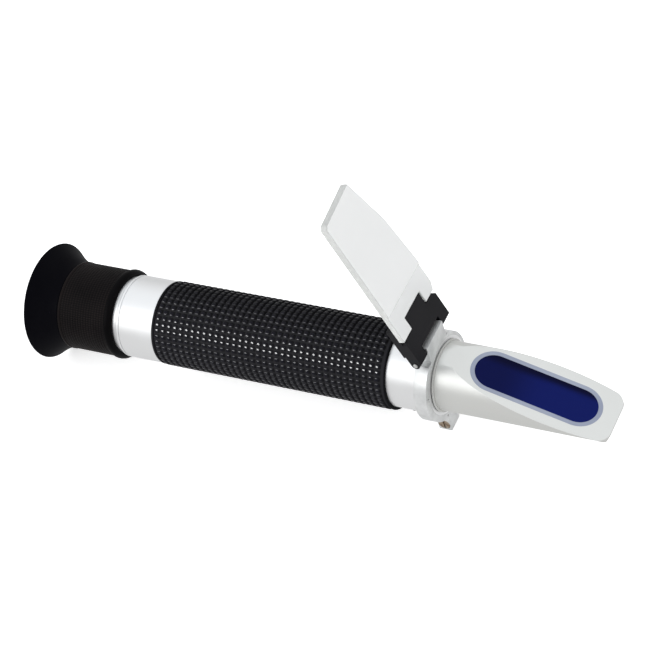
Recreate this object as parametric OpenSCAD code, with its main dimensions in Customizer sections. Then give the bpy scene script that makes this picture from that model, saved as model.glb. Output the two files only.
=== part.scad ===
// Hand-held refractometer with a focusing eyepiece, a ribbed rubber grip and a hinged
// daylight plate over a slanted prism face.
// All lengths are in millimetres. The barrel lies along X, from the eyecup to the prism tip,
// and +Z points up through the hinge of the daylight plate.

/* [Eyepiece] */
// Diameter of the eyecup's flared rim
eyecup_d = 39.1; // [38:0.1:42]
// Length of the flared part of the eyecup
eyecup_len = 10.3; // [10:0.1:11]
// Diameter of the knurled part of the focus ring
focus_ring_d = 29.2; // [29:0.1:30]
// Length of the focus ring that shows in front of the eyecup
focus_ring_len = 20.8; // [20.4:0.1:21.6]
// Gap in front of the focus ring, which the ring closes as it is focused
focus_gap = 1.6; // [1.6:0.1:2.2]
// Travel of the eyepiece each way from the middle of its thread
focus_travel = 1.5; // [1:0.1:1.5]

/* [Barrel] */
// Diameter of the bare metal tube behind the grip
tube_d = 27.5; // [27.2:0.1:27.8]
// Length of the bare metal tube behind the grip
rear_land_len = 13.9; // [13.3:0.1:16.3]
// Outside diameter of the rubber grip
grip_d = 28; // [27.9:0.1:30]
// Length of the rubber grip
grip_len = 85.4; // [84:0.2:100]
// Diameter of the neck in front of the grip
neck_d = 25.5; // [25.4:0.1:25.8]
// Length of the neck between the grip and the clamp ring
neck_len = 10.8; // [10.6:0.1:14]

/* [Clamp ring and hinge] */
// Outside diameter of the clamp ring
bracket_d = 29; // [28.8:0.1:29.6]
// Length of the clamp ring along the barrel
bracket_len = 4.4; // [4.2:0.1:4.8]
// Distance from the barrel axis to the flat foot of the clamp ring
foot_z = 19.6; // [19.4:0.1:19.8]
// Height of the hinge pin above the barrel axis
hinge_z = 16.36; // [16.2:0.01:16.5]
// Diameter of the hinge pin
hinge_pin_d = 1.6; // [1.5:0.1:1.8]

/* [Daylight plate] */
// Width of the daylight plate
plate_w = 23.5; // [23:0.1:24]
// Distance from the hinge pin to the plate's tip
plate_reach = 61.2; // [59.4:0.1:61.6]
// Thickness of the daylight plate
plate_t = 2.5; // [2.2:0.1:2.6]
// Direction in which the plate leans when it is open, measured up from the barrel axis
open_angle = 107.7; // [95:0.1:112]

/* [Prism head] */
// Diameter of the prism head
head_d = 22.2; // [22:0.1:22.6]
// Length of the prism head
head_len = 54.8; // [54.6:0.1:56]
// Slope of the prism face against the barrel axis
face_angle = 18.6; // [18.4:0.1:18.8]
// Width of the glass in the prism face
glass_w = 12.4; // [12:0.1:12.6]
// Length of the glass in the prism face
glass_len = 39.9; // [39:0.1:40.4]
// Width of the sealing border round the glass
seal_w = 1.4; // [1.2:0.1:1.4]

/* [Hidden] */
$fn = 96;
// overshoot of cutting tools past the faces they cut
eps = 0.01;
cut = 1;
// radial clearance of parts that turn or slide in each other
run_fit = 0.05;

// stations along the barrel, counted from the eyecup's rim
x_ring0 = eyecup_len;
x_ring1 = x_ring0 + focus_ring_len;
x_tube0 = x_ring1 + focus_gap;
x_grip0 = x_tube0 + rear_land_len;
x_grip1 = x_grip0 + grip_len;
x_brk0 = x_grip1 + neck_len;
x_brk1 = x_brk0 + bracket_len;
gasket_t = 0.7;
x_head0 = x_brk1 + gasket_t;
x_tip = x_head0 + head_len;

// eyecup
cup_rim_r = eyecup_d / 2;
cup_neck_r = 14.6;
cup_wall = 1.5;
cup_seat_r = 12.9;
cup_seat_x = 5.6;
cup_lip_t = 1;
cup_throat_r = 10.6;
cup_curve = 1.5;
cup_land = 0.5;
cup_steps = 16;

// focus ring
ring_r = focus_ring_d / 2;
ring_lip_r = 14.8;
ring_lip_t = 0.9;
ring_band_r = 15.1;
ring_band_len = 0.9;
ring_nose_r = 13.7;
ring_nose_len = 1.6;
spigot_r = 13;
spigot_x = 16;
ring_shoulder_x = 14;
ring_relief_r = 11.9;
ring_flange_x0 = 9.2;
ring_flange_x1 = 12.2;
ring_flange_r = 10.05;
ring_rear_r = 11.6;

// eyepiece barrel and its lenses
cell_neck_r = 10;
cell_r = 11.45;
cell_x0 = 5.9;
cell_x1 = x_tube0 + 11;
cell_gap = 0.15;
cell_lip_r = 7.8;
cell_lip_t = 1.2;
lens_r = 8.6;
eye_lens_edge = 4.2;
spacer_wall = 1.1;
field_lens_x = x_tube0 - 1;
field_lens_edge = 4;
lens_sag = 0.9;
lens_steps = 8;
retainer_t = 2.4;
retainer_wall = 1.5;
collar_x0 = 6.2;
collar_r = 11.2;

// key that stops the eyepiece barrel from turning
key_x = 20;
key_r = 1;
key_top = 12.95;
key_tip = 10.5;
key_slot_depth = 10.3;
key_slot_margin = 0.3;

// main tube
tube_r = tube_d / 2;
tube_bore_r = 11.5;
groove_x = x_tube0 + 1;
groove_w = 0.4;
groove_d = 0.3;
edge = 0.3;
under_grip_r = 12.7;
reticle_x0 = x_grip0 + 5.3;
reticle_t = 2;
reticle_ring_t = 1.9;
reticle_ring_wall = 2;
seat_r = 10.6;
seat_t = 2;
front_bore_r = 11.1;
socket_r = 11.6;
socket_len = 14;
stop_t = 1.5;
stop_r = 7.5;
stop_rear = 20;
stop_pitch = 22;

// neck tube
neck_r = neck_d / 2;
neck_rear_bore_r = 10.4;
neck_bore_r = 11;
neck_step_x = x_grip1 - 1;
head_spigot_r = 10.5;
head_spigot_len = 4;

// temperature compensated objective
frame_x0 = x_grip1 + 3;
frame_t = 5;
frame_r = 10.3;
frame_hole_r = 6.8;
frame_flat_z = 9.6;
frame_flat_y = 3;
adjust_x = frame_x0 + frame_t / 2;
guide_y = 8.6;
guide_r = 0.8;
guide_bottom = 9.2;
guide_top = 7.8;
strip_w = 8;
strip_t = 0.8;
strip_z = 8.7;
strip_len = 34.5;
strip_foot_len = 9;
strip_foot_t = 1.3;
strip_screw_r = 0.8;
strip_screw_head_r = 1.4;
strip_screw_head_t = 0.8;
strip_screw_grip = 1;
strip_screw_pitch = 4;
strip_screw_edge = 2.5;
cell_len = 7;
cell_out_r = 7.3;
objective_r = 6.2;
objective_sag = 0.6;
objective_inset = 1.2;
cell_foot_w = 6;

// calibration screw and spring
adjust_r = 1;
adjust_head_r = 1.9;
adjust_head_z0 = 12;
adjust_head_z1 = 12.9;
adjust_tip_z = 7.6;
adjust_slot_w = 0.5;
adjust_slot_d = 0.4;
clip_z0 = 10.2;
clip_t = 0.5;
clip_r = 1.8;
pocket_r = 1.5;
pocket_top = 7.7;
spring_r = 0.95;
spring_wire_r = 0.22;
spring_turns = 4;
spring_steps = 14;
spring_rings = spring_turns * spring_steps;
spring_sides = 8;
spring_floor = 10.95;
spring_rise = spring_floor - pocket_top - 2 * spring_wire_r;

// clamp ring
bracket_r = bracket_d / 2;
bracket_off_y = 0.65;
ear_flat_z = 12.5;
foot_half_w = 6.65;
foot_top_z = 12;
slit_w = 1.2;
clamp_z = 17;
clamp_x = x_brk0 + bracket_len / 2;
clamp_screw_r = 1.25;
clamp_head_r = 2;
clamp_head_t = 1.5;
clamp_recess_r = 2.1;
clamp_slot_w = 0.6;
clamp_slot_d = 0.6;
clamp_end_y = 5.6;
clamp_clear = 0.1;
tab_half_w = 5.9;
tab_root_z = 11;
tab_over_pin = 2.67;
tab_chamfer = 1.2;
dimple_r = 0.35;
dimple_depth = 0.8;
dimples = [[-13.4, 3.6], [-6.1, -12.5], [13.3, 0]];

// hinge and carrier, drawn about the hinge pin with the plate along +X
hinge_x = x_brk0 + 2.06;
pin_r = hinge_pin_d / 2;
pin_half = 11.3;
knuckle_r = 1.45;
ear_in = 6.2;
ear_out = 11;
carrier_front = 2.45;
carrier_back = 2.15;
ear_front_x = 0.1;
web_x0 = 3.7;
web_x1 = 10.5;
web_chamfer = 1.5;
tongue_half_w = 5.2;
tongue_x1 = 15.2;

// daylight plate
film_gap = 0.08;
face_x = x_tip - 19.4;
plate_inner = hinge_z * cos(face_angle) - (face_x - hinge_x) * sin(face_angle) - film_gap;
plate_outer = plate_inner - plate_t;
plate_near_y = 11.5;
plate_near_tip_y = 11.2;
plate_far_y = plate_w - plate_near_y;
plate_x0 = 10.8;
plate_notch_gap = 0.3;
plate_step_x = 21.4;
plate_step_t = 0.5;
plate_near_tip = plate_reach - 1.4;
plate_far_x = 22.4;
plate_kink = [42, 10.4];
plate_cut_y = 6;
plate_round = 1.2;

// prism head
head_r = head_d / 2;
tunnel_r = 8.5;
tunnel_len = 8;
tunnel_front_r = 5.6;
glass_r = glass_w / 2;
glass_half = (glass_len - glass_w) / 2;
glass_s = 5.8;
glass_depth = 2.4;
glass_floor = 7;
glass_overlap = 0.6;
prism_side_gap = 0.4;
prism_end_inset = 1;
glass_flush = 0.02;
seal_r = glass_r + seal_w;
seal_t = 1;
tip_land = 0.5;
tip_corner_r = 5;
tip_half_w = 10.1;
// height of the lower edge of the land at the tip
tip_floor_z = -(x_tip - face_x) * tan(face_angle) - tip_land;
// slope positions and depth of the upper corners of the prism's body, inside the glass
prism_rear_s = glass_s + glass_half - prism_end_inset;
prism_front_s = glass_s - glass_half + prism_end_inset;
prism_top_d = glass_depth - glass_overlap;
prism_half_w = glass_r - prism_side_gap;
// stations and heights of the same corners
prism_rear_x = face_x - prism_rear_s * cos(face_angle) - prism_top_d * sin(face_angle);
prism_front_x = face_x - prism_front_s * cos(face_angle) - prism_top_d * sin(face_angle);
prism_rear_z = prism_rear_s * sin(face_angle) - prism_top_d * cos(face_angle);
prism_front_z = prism_front_s * sin(face_angle) - prism_top_d * cos(face_angle);

// depth below the barrel axis of the surface that the instrument lies on
rest_z = max(foot_z, cup_rim_r);

// node to draw, or "all"

// Places a piece drawn from the eyecup's rim so that the origin is under the middle of the part.
module placed()
  translate([-x_tip / 2, 0, rest_z])
    children();

// Turned piece on the barrel axis from points [radius, station].
module turned(points)
  rotate([0, 90, 0])
    rotate_extrude()
      polygon(points);

// Round rod along the barrel axis.
module rod_x(x0, x1, r)
  translate([x0, 0, 0])
    rotate([0, 90, 0])
      cylinder(h = x1 - x0, r = r);

// Round rod across the barrel, parallel to Y.
module rod_y(y0, y1, r)
  translate([0, y0, 0])
    rotate([-90, 0, 0])
      cylinder(h = y1 - y0, r = r);

// Upright round rod.
module rod_z(z0, z1, r)
  translate([0, 0, z0])
    cylinder(h = z1 - z0, r = r);

// Plain tube on the barrel axis.
module tube_x(x0, x1, r_out, r_in)
  difference() {
    rod_x(x0, x1, r_out);
    rod_x(x0 - cut, x1 + cut, r_in);
  }

// Block between two corners.
module block(low, high)
  translate(low)
    cube(high - low);

// Lens with a flat-edged rim and two domed faces.
module lens(x0, x1, r, dome_r, sag)
  turned(concat(
    [[0, x0 - sag]],
    [for (i = [1:lens_steps]) [dome_r * i / lens_steps, x0 - sag * (1 - pow(i / lens_steps, 2))]],
    [[r, x0], [r, x1]],
    [for (i = [lens_steps:-1:1]) [dome_r * i / lens_steps, x1 + sag * (1 - pow(i / lens_steps, 2))]],
    [[0, x1 + sag]]
  ));

// Two-dimensional slot shape with round ends, along X.
module slot_shape(half_len, r) {
  square([2 * half_len, 2 * r], center = true);
  translate([-half_len, 0])
    circle(r = r);
  translate([half_len, 0])
    circle(r = r);
}

// Moves a piece drawn on a flat face, X down the slope, onto the prism face.
module on_face()
  translate([face_x, 0, 0])
    rotate([0, face_angle, 0])
      children();

// Moves a piece drawn about the hinge pin into the open position of the daylight plate.
module on_hinge()
  translate([hinge_x, 0, hinge_z])
    rotate([0, -open_angle, 0])
      children();

// Rubber cup with a trumpet-shaped flare.
module eyecup()
  color("#1b1b1d")
    placed()
      turned(concat(
        [for (i = [0:cup_steps])
          [cup_neck_r + (cup_rim_r - cup_neck_r) * pow(1 - i / cup_steps, cup_curve),
           cup_land + (x_ring0 - cup_land) * i / cup_steps]],
        [[cup_seat_r, x_ring0], [cup_seat_r, cup_seat_x], [cup_throat_r, cup_seat_x],
         [cup_throat_r, cup_seat_x - cup_lip_t]],
        [for (i = [0:cup_steps])
          [cup_throat_r + (cup_rim_r - cup_wall - cup_throat_r) * pow(i / cup_steps, 1 / cup_curve)
             * (1 - 0.001),
           (cup_seat_x - cup_lip_t) * (1 - i / cup_steps)]],
        [[cup_rim_r, 0]]
      ));

// Turned ring that screws along the tube and carries the eyecup.
module focus_ring()
  color("#202022")
    placed()
      turned([
        [cup_seat_r, cup_seat_x],
        [cup_seat_r, x_ring0],
        [ring_lip_r, x_ring0],
        [ring_lip_r, x_ring0 + ring_lip_t],
        [ring_r, x_ring0 + ring_lip_t],
        [ring_r, x_ring1 - ring_nose_len - ring_band_len],
        [ring_band_r, x_ring1 - ring_nose_len - ring_band_len],
        [ring_band_r, x_ring1 - ring_nose_len],
        [ring_nose_r, x_ring1],
        [spigot_r + run_fit, x_ring1],
        [spigot_r + run_fit, ring_shoulder_x],
        [ring_relief_r, ring_shoulder_x],
        [ring_relief_r, ring_flange_x1],
        [ring_flange_r, ring_flange_x1],
        [ring_flange_r, ring_flange_x0],
        [ring_rear_r, ring_flange_x0],
        [ring_rear_r, cup_seat_x]
      ]);

// Collar that keeps the focus ring on the eyepiece barrel.
module focus_collar()
  color("#3a3a3d")
    placed()
      tube_x(collar_x0, ring_flange_x0 - cell_gap, collar_r, cell_neck_r);

// Sliding barrel that holds the eyepiece lenses.
module eyepiece_barrel()
  color("#2a2a2c")
    placed()
      difference() {
        turned([
          [cell_lip_r, cell_x0],
          [cell_neck_r, cell_x0],
          [cell_neck_r, ring_flange_x1 + cell_gap],
          [cell_r, ring_flange_x1 + cell_gap],
          [cell_r, cell_x1],
          [lens_r, cell_x1],
          [lens_r, cell_x0 + cell_lip_t],
          [cell_lip_r, cell_x0 + cell_lip_t]
        ]);
        block(
          [key_x - key_r - focus_travel - key_slot_margin, -key_r - run_fit, -cell_r - cut],
          [key_x + key_r + focus_travel + key_slot_margin, key_r + run_fit, -key_slot_depth]
        );
      }

// Lens nearest to the eye.
module eye_lens()
  color("#bcd4dc", 0.5)
    placed()
      lens(cell_x0 + cell_lip_t, cell_x0 + cell_lip_t + eye_lens_edge, lens_r,
        lens_r - spacer_wall, lens_sag);

// Tube that spaces the two eyepiece lenses.
module lens_spacer()
  color("#242426")
    placed()
      tube_x(cell_x0 + cell_lip_t + eye_lens_edge, field_lens_x, lens_r, lens_r - spacer_wall);

// Inner lens of the eyepiece.
module field_lens()
  color("#bcd4dc", 0.5)
    placed()
      lens(field_lens_x, field_lens_x + field_lens_edge, lens_r, lens_r - retainer_wall, lens_sag);

// Threaded ring that holds the eyepiece lenses in.
module lens_retainer()
  color("#303033")
    placed()
      tube_x(field_lens_x + field_lens_edge, field_lens_x + field_lens_edge + retainer_t,
        lens_r, lens_r - retainer_wall);

// Grub screw that rides in the eyepiece barrel's slot.
module key_screw()
  color("#8a8a8c")
    placed()
      translate([key_x, 0, 0])
        rod_z(-key_top, -key_tip, key_r);

// Main metal tube of the barrel.
module body_tube()
  color("#c9cbce")
    placed()
      difference() {
        turned([
          [tube_bore_r, spigot_x],
          [spigot_r, spigot_x],
          [spigot_r, x_tube0],
          [tube_r - edge, x_tube0],
          [tube_r, x_tube0 + edge],
          [tube_r, groove_x],
          [tube_r - groove_d, groove_x],
          [tube_r - groove_d, groove_x + groove_w],
          [tube_r, groove_x + groove_w],
          [tube_r, x_grip0],
          [under_grip_r, x_grip0],
          [under_grip_r, x_grip1],
          [socket_r, x_grip1],
          [socket_r, x_grip1 - socket_len],
          [front_bore_r, x_grip1 - socket_len],
          [front_bore_r, reticle_x0 + reticle_t + seat_t],
          [seat_r, reticle_x0 + reticle_t + seat_t],
          [seat_r, reticle_x0 + reticle_t],
          [tube_bore_r, reticle_x0 + reticle_t]
        ]);
        translate([key_x, 0, 0])
          rod_z(-spigot_r - cut, 0, key_r);
      }

// Rubber sleeve over the main tube.
module rubber_grip()
  color("#17181a")
    placed()
      tube_x(x_grip0, x_grip1, grip_d / 2, under_grip_r);

// Glass disc that carries the measuring scale.
module reticle()
  color("#d4e2e6", 0.5)
    placed()
      rod_x(reticle_x0, reticle_x0 + reticle_t, tube_bore_r);

// Threaded ring that holds the reticle on its seat.
module reticle_retainer()
  color("#303033")
    placed()
      tube_x(reticle_x0 - reticle_ring_t, reticle_x0, tube_bore_r, tube_bore_r - reticle_ring_wall);

// Blackened stops that catch stray light in the tube.
module light_stops()
  color("#1c1c1e")
    placed()
      for (i = [0:1])
        tube_x(x_grip0 + stop_rear + stop_pitch * i, x_grip0 + stop_rear + stop_pitch * i + stop_t,
          front_bore_r, stop_r);

// Front tube, screwed into the main tube, that holds the objective and the prism head.
module neck_tube()
  color("#c9cbce")
    placed()
      difference() {
        turned([
          [neck_rear_bore_r, x_grip1 - socket_len],
          [socket_r, x_grip1 - socket_len],
          [socket_r, x_grip1],
          [neck_r, x_grip1],
          [neck_r, x_brk1],
          [head_spigot_r, x_brk1],
          [head_spigot_r, x_head0 - head_spigot_len - gasket_t],
          [neck_bore_r, x_head0 - head_spigot_len - gasket_t],
          [neck_bore_r, neck_step_x],
          [neck_rear_bore_r, neck_step_x]
        ]);
        translate([adjust_x, 0, 0]) {
          rod_z(0, neck_r + cut, adjust_r + run_fit);
          rod_z(adjust_head_z0, neck_r + cut, adjust_head_r + run_fit);
          for (side = [-1, 1])
            translate([0, side * guide_y, 0])
              rod_z(-neck_r, guide_top, guide_r);
        }
      }

// Frame that slides up and down in the neck and carries the compensated objective.
module objective_frame()
  color("#3c3d40")
    placed()
      difference() {
        union() {
          rod_x(frame_x0, frame_x0 + frame_t, frame_r);
          block([frame_x0 - strip_foot_len, -strip_w / 2, strip_t - strip_z],
            [frame_x0 + frame_t / 2, strip_w / 2, strip_t - strip_z + strip_foot_t]);
        }
        rod_x(frame_x0 - cut, frame_x0 + frame_t + cut, frame_hole_r);
        block([frame_x0 - cut, -frame_flat_y, frame_flat_z],
          [frame_x0 + frame_t + cut, frame_flat_y, frame_r + cut]);
        translate([adjust_x, 0, 0]) {
          rod_z(0, frame_r, adjust_r);
          rod_z(-frame_r - cut, -pocket_top, pocket_r);
          for (side = [-1, 1])
            translate([0, side * guide_y, 0])
              rod_z(-frame_r, frame_r, guide_r + run_fit);
        }
        for (i = [0:1])
          translate([frame_x0 - strip_screw_edge - strip_screw_pitch * i, 0, 0])
            rod_z(-strip_z, strip_screw_grip - strip_z + strip_t, strip_screw_r);
      }

// Dowels that guide the objective frame.
module guide_pins()
  color("#9a9b9e")
    placed()
      for (side = [-1, 1])
        translate([adjust_x, side * guide_y, 0])
          rod_z(-guide_bottom, guide_top, guide_r);

// Two-metal strip that bends with temperature and lifts the objective.
module bimetal_strip()
  color("#b08d57")
    placed()
      difference() {
        block([frame_x0 - strip_len, -strip_w / 2, -strip_z],
          [frame_x0, strip_w / 2, strip_t - strip_z]);
        for (i = [0:1])
          translate([frame_x0 - strip_screw_edge - strip_screw_pitch * i, 0, 0])
            rod_z(-strip_z - cut, 0, strip_screw_r);
      }

// Screws that fix the strip under the frame.
module strip_screws()
  color("#8a8a8c")
    placed()
      for (i = [0:1])
        translate([frame_x0 - strip_screw_edge - strip_screw_pitch * i, 0, 0]) {
          rod_z(-strip_z - eps, strip_screw_grip - strip_z + strip_t, strip_screw_r);
          rod_z(-strip_z - strip_screw_head_t, -strip_z, strip_screw_head_r);
        }

// Cell of the objective lens, on the free end of the strip.
module objective_cell()
  color("#3c3d40")
    placed()
      difference() {
        union() {
          rod_x(frame_x0 - strip_len, frame_x0 - strip_len + cell_len, cell_out_r);
          block([frame_x0 - strip_len, -cell_foot_w / 2, strip_t - strip_z],
            [frame_x0 - strip_len + cell_len, cell_foot_w / 2, -objective_r]);
        }
        rod_x(frame_x0 - strip_len - cut, frame_x0 - strip_len + cell_len + cut, objective_r);
      }

// Objective that images the shadow line on the reticle.
module objective_lens()
  color("#bcd4dc", 0.5)
    placed()
      lens(frame_x0 - strip_len + objective_inset,
        frame_x0 - strip_len + cell_len - objective_inset,
        objective_r, objective_r - edge, objective_sag);

// Slotted screw that sets the zero by lifting the objective frame.
module calibration_screw()
  color("#b9bbbe")
    placed()
      translate([adjust_x, 0, 0])
        difference() {
          union() {
            rod_z(adjust_tip_z, adjust_head_z0 + eps, adjust_r);
            rod_z(adjust_head_z0, adjust_head_z1, adjust_head_r);
          }
          block([-adjust_head_r - cut, -adjust_slot_w / 2, adjust_head_z1 - adjust_slot_d],
            [adjust_head_r + cut, adjust_slot_w / 2, adjust_head_z1 + cut]);
        }

// Clip that keeps the calibration screw in the neck.
module screw_clip()
  color("#8a8a8c")
    placed()
      translate([adjust_x, 0, 0])
        difference() {
          rod_z(clip_z0, clip_z0 + clip_t, clip_r);
          rod_z(clip_z0 - cut, clip_z0 + clip_t + cut, adjust_r);
        }

// Point on the spring's wire: step along the coil, then side of the wire.
function spring_point(i, j) =
  let (turn = 360 * i / spring_steps, around = 360 * j / spring_sides)
    [(spring_r + spring_wire_r * cos(around)) * cos(turn),
     (spring_r + spring_wire_r * cos(around)) * sin(turn),
     spring_wire_r * sin(around) + spring_rise * i / (spring_steps * spring_turns)];

// Coil spring that holds the objective frame against the calibration screw.
module calibration_spring()
  color("#a7a9ac")
    placed()
      translate([adjust_x, 0, -spring_floor + spring_wire_r])
        polyhedron(
          points = [for (i = [0:spring_rings]) for (j = [0:spring_sides - 1]) spring_point(i, j)],
          faces = concat(
            [[for (j = [0:spring_sides - 1]) j]],
            [[for (j = [spring_sides - 1:-1:0]) spring_rings * spring_sides + j]],
            [for (i = [0:spring_rings - 1]) for (j = [0:spring_sides - 1])
              [i * spring_sides + j, (i + 1) * spring_sides + j,
               (i + 1) * spring_sides + (j + 1) % spring_sides,
               i * spring_sides + (j + 1) % spring_sides]]
          )
        );

// Split ring, clamped on the neck, with a flat foot below and the hinge tab above.
module ring_bracket()
  color("#aeb1b4")
    placed()
      difference() {
        union() {
          translate([0, -bracket_off_y, 0])
            rod_x(x_brk0, x_brk1, bracket_r);
          block([x_brk0, -foot_half_w, -foot_z], [x_brk1, foot_half_w, -foot_top_z]);
          translate([0, tab_half_w, 0])
            rotate([90, 0, 0])
              linear_extrude(2 * tab_half_w)
                polygon([
                  [x_brk0, tab_root_z],
                  [x_brk1, tab_root_z],
                  [x_brk1, hinge_z + tab_over_pin],
                  [x_brk0 + tab_chamfer, hinge_z + tab_over_pin],
                  [x_brk0, hinge_z + tab_over_pin - tab_chamfer]
                ]);
        }
        rod_x(x_brk0 - cut, x_brk1 + cut, neck_r);
        block([x_brk0 - cut, tab_half_w, ear_flat_z], [x_brk1 + cut, bracket_r, hinge_z]);
        block([x_brk0 - cut, -bracket_r, ear_flat_z], [x_brk1 + cut, -tab_half_w, hinge_z]);
        block([x_brk0 - cut, -slit_w / 2, -foot_z - cut], [x_brk1 + cut, slit_w / 2, 0]);
        translate([hinge_x, 0, hinge_z])
          rod_y(-tab_half_w - cut, tab_half_w + cut, pin_r);
        translate([clamp_x, 0, -clamp_z]) {
          rod_y(-foot_half_w - cut, clamp_head_t - foot_half_w, clamp_recess_r);
          rod_y(-foot_half_w, 0, clamp_screw_r + clamp_clear);
          rod_y(0, clamp_end_y, clamp_screw_r);
        }
        for (place = dimples)
          translate([0, place[0], place[1]])
            rod_x(x_brk1 - dimple_depth, x_brk1 + cut, dimple_r);
      }

// Slotted brass screw that closes the clamp ring.
module clamp_screw()
  color("#b58a4a")
    placed()
      translate([clamp_x, 0, -clamp_z])
        difference() {
          union() {
            rod_y(-foot_half_w, clamp_head_t - foot_half_w, clamp_head_r);
            rod_y(clamp_head_t - foot_half_w - eps, clamp_end_y, clamp_screw_r);
          }
          block([-clamp_slot_w / 2, -foot_half_w - cut, -clamp_head_r - cut],
            [clamp_slot_w / 2, clamp_slot_d - foot_half_w, clamp_head_r + cut]);
        }

// Pin through the clamp ring's tab, on which the carrier turns.
module hinge_pin()
  color("#b9bbbe")
    placed()
      translate([hinge_x, 0, hinge_z])
        rod_y(-pin_half, pin_half, pin_r);

// Black plastic carrier that holds the daylight plate and turns on the hinge pin.
module hinge_carrier()
  color("#232427")
    placed()
      on_hinge()
        difference() {
          union() {
            for (side = [-1, 1])
              translate([0, side * (ear_in + ear_out) / 2, 0]) {
                rod_y((ear_in - ear_out) / 2, (ear_out - ear_in) / 2, knuckle_r);
                block([0, (ear_in - ear_out) / 2, -knuckle_r],
                  [web_x0 + eps, (ear_out - ear_in) / 2, knuckle_r]);
                block([ear_front_x, (ear_in - ear_out) / 2, -carrier_front],
                  [web_x0 + eps, (ear_out - ear_in) / 2, knuckle_r]);
              }
            translate([0, 0, -carrier_front])
              linear_extrude(carrier_front + carrier_back)
                polygon([
                  [web_x0, -ear_out],
                  [web_x1 - web_chamfer, -ear_out],
                  [web_x1, web_chamfer - ear_out],
                  [web_x1, -tongue_half_w],
                  [tongue_x1, -tongue_half_w],
                  [tongue_x1, tongue_half_w],
                  [web_x1, tongue_half_w],
                  [web_x1, ear_out - web_chamfer],
                  [web_x1 - web_chamfer, ear_out],
                  [web_x0, ear_out]
                ]);
            block([web_x0, -ear_out, -plate_outer], [tongue_x1, ear_out, carrier_back]);
          }
          rod_y(-ear_out - cut, ear_out + cut, pin_r + run_fit);
        }

// Outline of the daylight plate about the hinge pin, with one clipped corner at the tip.
module plate_outline()
  difference() {
    polygon([
      [plate_x0, -plate_near_y],
      [plate_near_tip - plate_round, -plate_near_tip_y],
      [plate_near_tip, plate_round - plate_near_tip_y],
      [plate_reach, plate_cut_y],
      plate_kink,
      [plate_far_x, plate_far_y],
      [plate_x0 + 2 * plate_round, plate_far_y],
      [plate_x0, plate_far_y - plate_round]
    ]);
    translate([plate_x0 - cut, -tongue_half_w - plate_notch_gap])
      square([tongue_x1 + plate_notch_gap - plate_x0 + cut, 2 * (tongue_half_w + plate_notch_gap)]);
  }

// Frosted plate that spreads the sample over the prism and lets daylight in.
module daylight_plate()
  color("#dfe5e4", 0.6)
    placed()
      on_hinge()
        difference() {
          translate([0, 0, -plate_inner])
            linear_extrude(plate_t)
              plate_outline();
          block([0, -plate_w, -plate_inner - cut],
            [plate_step_x, plate_w, plate_step_t - plate_inner]);
        }

// Pale washer between the clamp ring and the prism head.
module gasket_ring()
  color("#eceae2")
    placed()
      tube_x(x_brk1, x_head0, neck_r - 1, head_spigot_r);

// Metal head, cut off at a slant, that holds the prism.
module prism_housing()
  color("#d3d5d6")
    placed()
      difference() {
        intersection() {
          union() {
            rod_x(x_head0, x_tip, head_r);
            rod_x(x_head0 - head_spigot_len, x_head0 + cut, head_spigot_r);
          }
          translate([0, 0, -head_r - cut])
            linear_extrude(2 * (head_r + cut)) {
              translate([x_brk0, -head_r - cut])
                square([x_tip - tip_corner_r - x_brk0, 2 * (head_r + cut)]);
              translate([x_tip - tip_corner_r - cut, tip_corner_r - tip_half_w])
                square([tip_corner_r + cut, 2 * (tip_half_w - tip_corner_r)]);
              for (side = [-1, 1])
                translate([x_tip - tip_corner_r, side * (tip_half_w - tip_corner_r)])
                  circle(r = tip_corner_r);
            }
        }
        on_face()
          translate([-head_len, -head_d, 0])
            cube([2 * head_len, 2 * head_d, head_d]);
        translate([0, head_d, 0])
          rotate([90, 0, 0])
            linear_extrude(2 * head_d)
              polygon([
                [x_tip, tip_floor_z],
                [x_tip + cut, tip_floor_z],
                [x_tip + cut, -head_r - cut],
                [x_tip - (tip_floor_z + head_r + cut), -head_r - cut]
              ]);
        rod_x(x_head0 - head_spigot_len - cut, x_head0 + tunnel_len, tunnel_r);
        rod_x(x_head0, prism_rear_x + prism_side_gap, tunnel_front_r);
        prism_pocket();
      }

// Solid block of the prism below its glass face.
module prism_body()
  translate([0, prism_half_w, 0])
    rotate([90, 0, 0])
      linear_extrude(2 * prism_half_w)
        polygon([
          [prism_rear_x, -glass_floor],
          [prism_front_x, -glass_floor],
          [prism_front_x, prism_front_z],
          [prism_rear_x, prism_rear_z]
        ]);

// Space that the prism and its sealing border fill in the head.
module prism_pocket() {
  on_face()
    translate([-glass_s, 0, -glass_depth])
      linear_extrude(glass_depth + cut)
        slot_shape(glass_half, glass_r);
  on_face()
    translate([-glass_s, 0, -seal_t])
      linear_extrude(seal_t + cut)
        slot_shape(glass_half, seal_r);
  prism_body();
}

// Glass prism that the sample lies on.
module main_prism()
  color("#14205c")
    placed()
      union() {
        on_face()
          translate([-glass_s, 0, -glass_depth])
            linear_extrude(glass_depth - glass_flush)
              slot_shape(glass_half, glass_r);
        prism_body();
      }

// Sealing border between the glass and the head.
module prism_seal()
  color("#b9c4d6")
    placed()
      on_face()
        translate([-glass_s, 0, -seal_t])
          linear_extrude(seal_t - glass_flush)
            difference() {
              slot_shape(glass_half, seal_r);
              slot_shape(glass_half, glass_r);
            }

eyecup();
focus_ring();
focus_collar();
eyepiece_barrel();
eye_lens();
lens_spacer();
field_lens();
lens_retainer();
key_screw();
body_tube();
rubber_grip();
reticle();
reticle_retainer();
light_stops();
neck_tube();
objective_frame();
guide_pins();
bimetal_strip();
strip_screws();
objective_cell();
objective_lens();
calibration_screw();
screw_clip();
calibration_spring();
ring_bracket();
clamp_screw();
hinge_pin();
hinge_carrier();
daylight_plate();
gasket_ring();
prism_housing();
main_prism();
prism_seal();
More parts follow.
